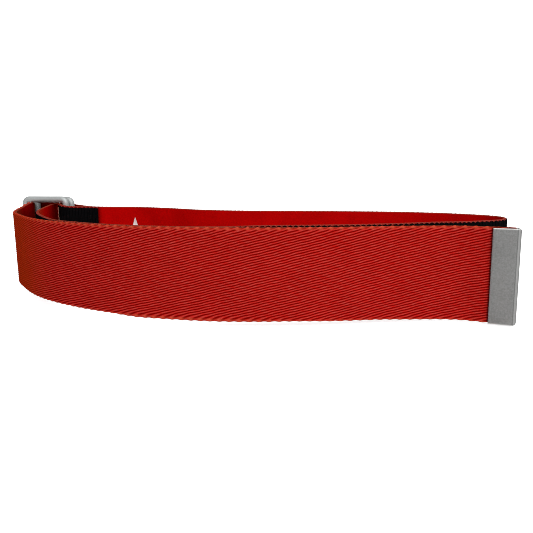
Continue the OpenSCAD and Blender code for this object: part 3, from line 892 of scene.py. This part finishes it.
# ------------------------------------------------------------------ rings
def ring_object(name, hinge, angle, body, node, rise):
    w, h, c, r = RING_SPAN, RING_H - WIRE_D, RING_CORNER, WIRE_D / 2
    pts = []
    corners = [(-c, h - c, 0), (-w + c, h - c, 90), (-w + c, c, 180), (-c, c, 270)]
    # start in the middle of the hinge bar, where the wire's ends meet
    pts.append((0.0, h / 2))
    for k in range(1, 12):
        pts.append((0.0, h / 2 + (h / 2 - c) * k / 12))
    for q, (cx, cy, a0) in enumerate(corners):
        for k in range(13):
            a = math.radians(a0 + 90 * k / 12)
            pts.append((cx + c * math.cos(a), cy + c * math.sin(a)))
        if q == 0:
            ends, m = ((-c, h), (-w + c, h)), 10
        elif q == 1:
            ends, m = ((-w, h - c), (-w, c)), 18
        elif q == 2:
            ends, m = ((-w + c, 0), (-c, 0)), 10
        else:
            ends, m = ((0.0, c), (0.0, h / 2)), 12
        for k in range(1, m):
            t = k / m
            pts.append((ends[0][0] * (1 - t) + ends[1][0] * t, ends[0][1] * (1 - t) + ends[1][1] * t))
    pts = np.array(pts)
    ca, sa = math.cos(math.radians(angle)), math.sin(math.radians(angle))
    low = (WIDTH - RING_H) / 2 + RING_UP + r
    X = hinge[0] + pts[:, 0] * ca
    Y = hinge[1] - pts[:, 0] * sa
    Z = low + pts[:, 1] + rise
    P = np.stack([X, Y, Z], -1)
    n = len(P)
    # radius: a faint ridge where the wire was butt-welded
    arc_len = np.concatenate([[0], np.cumsum(np.linalg.norm(np.diff(P, axis=0), axis=1))])
    total = arc_len[-1] + np.linalg.norm(P[0] - P[-1])
    dist = np.minimum(arc_len, total - arc_len)
    rad = r * (1 - 0.012 * np.exp(-(dist / 0.7) ** 2)) - 0.01
    rad = rad + 0.012 * np.sin(arc_len * 0.35)
    sides = 28
    V = tube(P, rad, sides, closed=True)
    i = np.arange(n)[:, None]
    j = np.arange(sides)[None, :]
    i2, j2 = (i + 1) % n, (j + 1) % sides
    # the frame may have turned after one lap: find the matching side
    d = np.linalg.norm(V[0][:, None] - (V[-1] + (P[0] - P[-1]))[None], axis=2)
    shift = int(np.argmin([sum(d[(k + off) % sides, k] for k in range(sides)) for off in range(sides)]))
    q = []
    for a_ in range(n):
        b_ = (a_ + 1) % n
        off = shift if b_ == 0 else 0
        for k in range(sides):
            q.append((a_ * sides + k, b_ * sides + (k + off) % sides, b_ * sides + (k + 1 + off) % sides, a_ * sides + (k + 1) % sides))
    q = np.array(q)
    Vf = V.reshape(-1, 3)
    if signed_volume(Vf, q) < 0:
        q = q[:, ::-1]
    ob = make_object(name, Vf, q.ravel(), np.full(len(q), 4), None, None, M_RING)
    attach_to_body(ob, body)
    stand_for(ob, node)
    return ob


ring_object("ring_inner_wire", INNER_HINGE, INNER_ANGLE, "inner_ring", "inner_ring", 0.90)
ring_object("ring_outer_wire", OUTER_HINGE, OUTER_ANGLE, "outer_ring", "outer_ring", 0.35)


# ------------------------------------------------------------------ folded metal end
def metal_end():
    stack = BASE_T + GLUE + TWILL_T
    tip_w = stack + 2 * (0.15 + TIP_T)
    mid = -(TWILL_T + GLUE) / 2
    c0 = on_path(S_END - 0.4, mid)
    nrm = normal_at(S_END - 0.4)
    along = np.array([nrm[1], -nrm[0]])
    R = tip_w / 2 - TIP_T / 2  # centreline radius of the fold
    x0 = 0.4 - TIP_L + tip_w / 2
    xc = 0.4
    # centreline in plan: front plate, fold, back plate; local x along, y across (minus is the front)
    line = [(x0 + (xc - x0) * k / 22, -R) for k in range(22)]
    line += [(xc + R * math.sin(a), -R * math.cos(a)) for a in np.linspace(0, math.pi, 19)]
    line += [(xc - (xc - x0) * k / 22, R) for k in range(1, 23)]
    L = np.array(line)
    n = len(L)
    T = np.gradient(L, axis=0)
    T /= np.linalg.norm(T, axis=1)[:, None]
    O = np.stack([T[:, 1], -T[:, 0]], -1)  # outward: to the right of the direction of travel
    far = xc + tip_w / 2
    half_h = TIP_H / 2
    t2 = TIP_T / 2
    e = 0.24
    # cross-section ring: outer face up, over the top, inner face down, under the bottom
    zs = np.linspace(-1, 1, 24)
    ring = [(t2, "f", z) for z in zs]
    for k in range(1, 6):
        a = math.pi / 2 * k / 6
        ring.append((t2 - e + e * math.cos(a), "t", math.sin(a)))
    for k in range(0, 6):
        a = math.pi / 2 * k / 6
        ring.append((-t2 + e - e * math.sin(a), "t", math.cos(a)))
    ring += [(-t2, "f", z) for z in zs[::-1]]
    for k in range(1, 6):
        a = math.pi / 2 * k / 6
        ring.append((-t2 + e - e * math.cos(a), "b", math.sin(a)))
    for k in range(0, 6):
        a = math.pi / 2 * k / 6
        ring.append((t2 - e + e * math.sin(a), "b", math.cos(a)))
    V, along_fold = [], []
    for i in range(n):
        x, y = L[i]
        # the two corners at the fold are rounded
        over = max(0.0, x - (far - TIP_T / 2 - TIP_CORNER))
        drop = TIP_CORNER - math.sqrt(max(TIP_CORNER ** 2 - min(over, TIP_CORNER * 0.98) ** 2, 0.0))
        hh = half_h - drop
        # the plate's open edges are eased
        first = min(i, n - 1 - i)
        ease_in = 1 - 0.25 * max(0, 2 - first) / 2
        for d, kind, z in ring:
            if kind == "f":
                zz = z * (hh - e)
            elif kind == "t":
                zz = hh - e + e * z
            else:
                zz = -(hh - e) - e * z
            dd = d * ease_in
            p = L[i] + O[i] * dd
            q = c0 + along * p[0] + nrm * (p[1])
            V.append((q[0], q[1], WIDTH / 2 - 0.2 + zz))
            along_fold.append(far - p[0])
    V = np.array(V)
    nu = len(ring)
    q = grid_faces(n, nu)
    caps = [np.arange(nu), (n - 1) * nu + np.arange(nu)[::-1]]
    if signed_volume(V, q) < 0:
        q = q[:, ::-1]
        caps = [c[::-1] for c in caps]
    ob = make_object("metal_end_plate", V, np.concatenate([q.ravel()] + caps), np.concatenate([np.full(len(q), 4), [nu, nu]]), None, {"tip_along": np.array(along_fold)}, M_END)
    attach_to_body(ob, "tail_end")
    stand_for(ob, "metal_end")
    return ob


metal_end()

# ------------------------------------------------------------------ floor, light, camera
FLOOR = (0.01994, 0.00674, -2.55)  # z = a x + b y + c, in mm: the plane the belt rests on


def floor():
    a, b, c = FLOOR
    R = 2600.0
    n = 48
    V, q = [], []
    for i in range(n + 1):
        for j in range(n + 1):
            x, y = -R + 2 * R * i / n, -R + 2 * R * j / n
            V.append((x, y, a * x + b * y + c))
    idx = np.arange((n + 1) ** 2).reshape(n + 1, n + 1)
    q = np.stack([idx[:-1, :-1], idx[1:, :-1], idx[1:, 1:], idx[:-1, 1:]], -1).reshape(-1, 4)
    m, nt, bs = node_material("floor_pale")
    g = G(nt)
    tc = g.new("ShaderNodeTexCoord")
    nz = g.noise(tc.outputs["Object"], 6.0, 2, 0.5)
    g.link(g.mix(nz, (0.88, 0.88, 0.88, 1), (0.9, 0.9, 0.9, 1)), bs.inputs["Base Color"])
    bs.inputs["Roughness"].default_value = 0.9
    bs.inputs["Specular IOR Level"].default_value = 0.0
    # the floor is seen a little brighter than it lights the belt
    seen = g.new("ShaderNodeLightPath").outputs["Is Camera Ray"]
    bs.inputs["Emission Color"].default_value = (1, 1, 1, 1)
    g.link(g.math("MULTIPLY", seen, 0.80), bs.inputs["Emission Strength"])
    ob = make_object("floor", V, q.ravel(), np.full(len(q), 4), None, None, m)


floor()

world = bpy.data.worlds.new("studio")
bpy.context.scene.world = world
world.use_nodes = True
wn = world.node_tree
bg = wn.nodes["Background"] if "Background" in wn.nodes else wn.nodes.new("ShaderNodeBackground")
bg.inputs[0].default_value = (1, 1, 1, 1)
wg = G(wn)
# a light tent, brighter in front and above than behind; the camera sees it plain white
toward = wg.new("ShaderNodeVectorMath", operation="DOT_PRODUCT")
wg.link(wg.new("ShaderNodeTexCoord").outputs["Generated"], toward.inputs[0])
toward.inputs[1].default_value = (0.38, -0.72, 0.58)
tent = wg.mapr(toward.outputs["Value"], -0.6, 0.9, 0.16, 0.78, True)
wg.link(wg.mix(wg.new("ShaderNodeLightPath").outputs["Is Camera Ray"], tent, 1.15, "FLOAT"), bg.inputs[1])


def area(name, loc, target, size, power, color=(1, 1, 1), size_y=None):
    l = bpy.data.lights.new(name, "AREA")
    l.energy = power
    l.color = color
    l.shape = "RECTANGLE"
    l.size = size
    l.size_y = size_y or size
    ob = bpy.data.objects.new(name, l)
    ob.location = loc
    d = Vector(target) - Vector(loc)
    ob.rotation_euler = d.to_track_quat("-Z", "Y").to_euler()
    bpy.context.scene.collection.objects.link(ob)
    return ob


area("key", (0.32, -0.66, 0.72), (0.0, 0.0, 0.02), 0.6, 4.7)
area("top", (0.05, -0.12, 0.9), (0.0, 0.03, 0.03), 0.45, 1.0)

cam = bpy.data.cameras.new("camera")
cam.sensor_width = 36.0
cam.lens = 587.3 / 533.0 * 36.0
cam.clip_start = 0.005
cam.clip_end = 20.0
camera = bpy.data.objects.new("camera", cam)
bpy.context.scene.collection.objects.link(camera)
camera.matrix_world = (Matrix.Translation((0.0, -0.2311, 0.0645)) @ Matrix.Rotation(math.radians(90 - 10.34), 4, "X")
                       @ Matrix.Rotation(math.radians(-0.63), 4, "Z"))
bpy.context.scene.camera = camera
bpy.context.scene.view_settings.view_transform = "Standard"
bpy.context.scene.view_settings.look = "None"
bpy.context.scene.cycles.filter_width = 0.9
